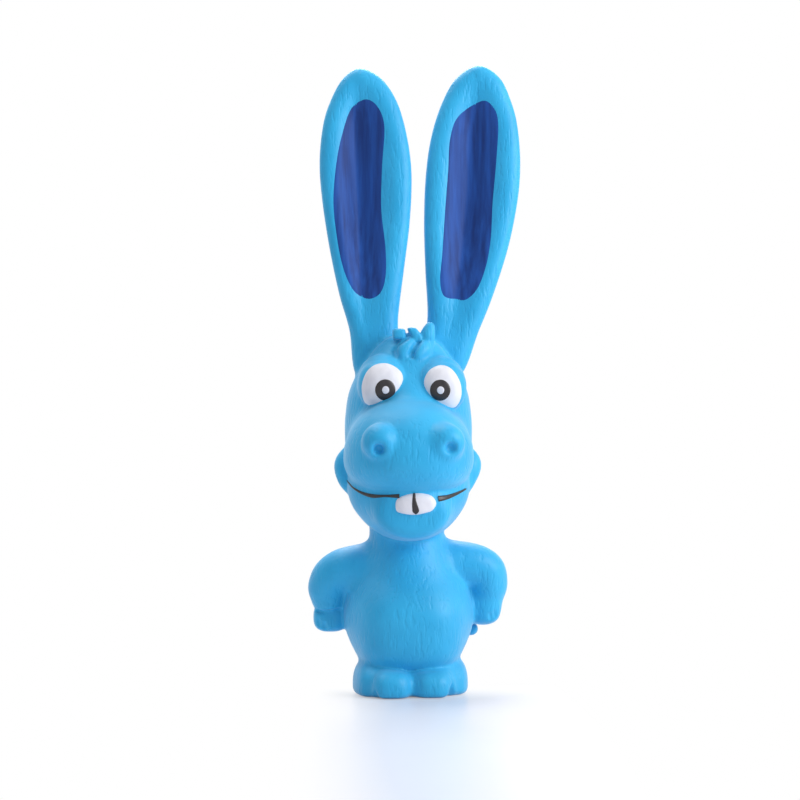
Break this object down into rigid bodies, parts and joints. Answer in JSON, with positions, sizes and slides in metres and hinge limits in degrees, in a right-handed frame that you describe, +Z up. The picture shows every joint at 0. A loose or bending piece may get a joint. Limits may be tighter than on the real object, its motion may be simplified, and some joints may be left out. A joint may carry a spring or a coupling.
{
  "type": "squeaky dog toy",
  "caption": "Standing long-eared donkey dog toy in stuffed blue latex; its ears, neck and tail bend and spring back, and pressing the belly works a reed whistle in the base",
  "frame": {"origin": "middle of the toy's footprint box, on the ground under its feet", "axes": "+Z up; the face looks along -Y; +X is the toy's own left"},
  "size_m": [0.0732, 0.062, 0.2195],
  "materials": {
    "latex_blue": "satin moulded latex, slightly uneven, with shallow engraved fur strokes",
    "ear_paint": "hand-painted dark blue on latex, semi-gloss",
    "white_paint": "hand-painted white on latex, semi-gloss",
    "black_paint": "hand-painted black on latex, semi-gloss",
    "filling": "loose white polyester fibre",
    "whistle_plastic": "plain moulded polyethylene",
    "reed_film": "thin springy plastic film"
  },
  "bodies": {
    "torso": {"torso_skin": "latex_blue", "arm_left": "latex_blue", "arm_right": "latex_blue", "foot_left": "latex_blue", "foot_right": "latex_blue", "body_fill": "filling", "squeaker_cup": "whistle_plastic", "squeaker_lid": "whistle_plastic", "reed_block": "whistle_plastic", "reed_wedge": "whistle_plastic"},
    "belly": {"belly_wall": "latex_blue"},
    "head": {"head_skin": "latex_blue", "head_fill": "filling", "muzzle": "latex_blue", "jaw": "latex_blue", "cheek_left": "latex_blue", "cheek_right": "latex_blue", "brow_left": "latex_blue", "brow_right": "latex_blue", "eye_left": "white_paint", "eye_right": "white_paint", "pupil_left": "black_paint", "pupil_right": "black_paint", "glint_left": "white_paint", "glint_right": "white_paint", "mouth_line_left": "black_paint", "mouth_line_right": "black_paint", "ear_root_left": "latex_blue", "ear_root_right": "latex_blue", "front_teeth": "white_paint", "tooth_parting": "black_paint", "forelock": "latex_blue"},
    "ear_left": {"ear_left": "latex_blue", "ear_lining_left": "ear_paint"},
    "ear_right": {"ear_right": "latex_blue", "ear_lining_right": "ear_paint"},
    "tail": {"tail": "latex_blue", "tail_tuft": "latex_blue"},
    "reed": {"reed_tongue": "reed_film"}
  },
  "joints": [
    {"name": "belly_squeeze", "type": "slide", "parent": "torso", "child": "belly", "axis": [0, 1, 0], "range_m": [0, 0.008], "stiffness_N_per_m": 200, "deforming": ["body_fill"]},
    {"name": "reed_flex", "type": "hinge", "parent": "torso", "child": "reed", "pos_m": [-0.00212, 0.00724, 0.0172], "axis": [-1, 0, 0], "range_deg": [0, 8]},
    {"name": "neck_bend", "type": "hinge", "parent": "torso", "child": "head", "pos_m": [-0.00212, 0.00772, 0.055], "axis": [1, 0, 0], "range_deg": [-15, 15], "stiffness_Nm_per_rad": 0.8},
    {"name": "ear_left_bend", "type": "hinge", "parent": "head", "child": "ear_left", "pos_m": [0.01596, 0.01227, 0.13658], "axis": [0.9956, 0, -0.0941], "range_deg": [-60, 60], "stiffness_Nm_per_rad": 0.05},
    {"name": "ear_right_bend", "type": "hinge", "parent": "head", "child": "ear_right", "pos_m": [-0.01483, 0.01227, 0.13665], "axis": [0.9987, 0, 0.0506], "range_deg": [-60, 60], "stiffness_Nm_per_rad": 0.05},
    {"name": "tail_flex", "type": "hinge", "parent": "torso", "child": "tail", "pos_m": [-0.00212, 0.02958, 0.0222], "axis": [0, 0, 1], "range_deg": [0, 45], "stiffness_Nm_per_rad": 0.005}
  ],
  "couplings": [
    {"joint": "reed_flex", "follows": "belly_squeeze", "rad_per_m": 17.453}
  ]
}
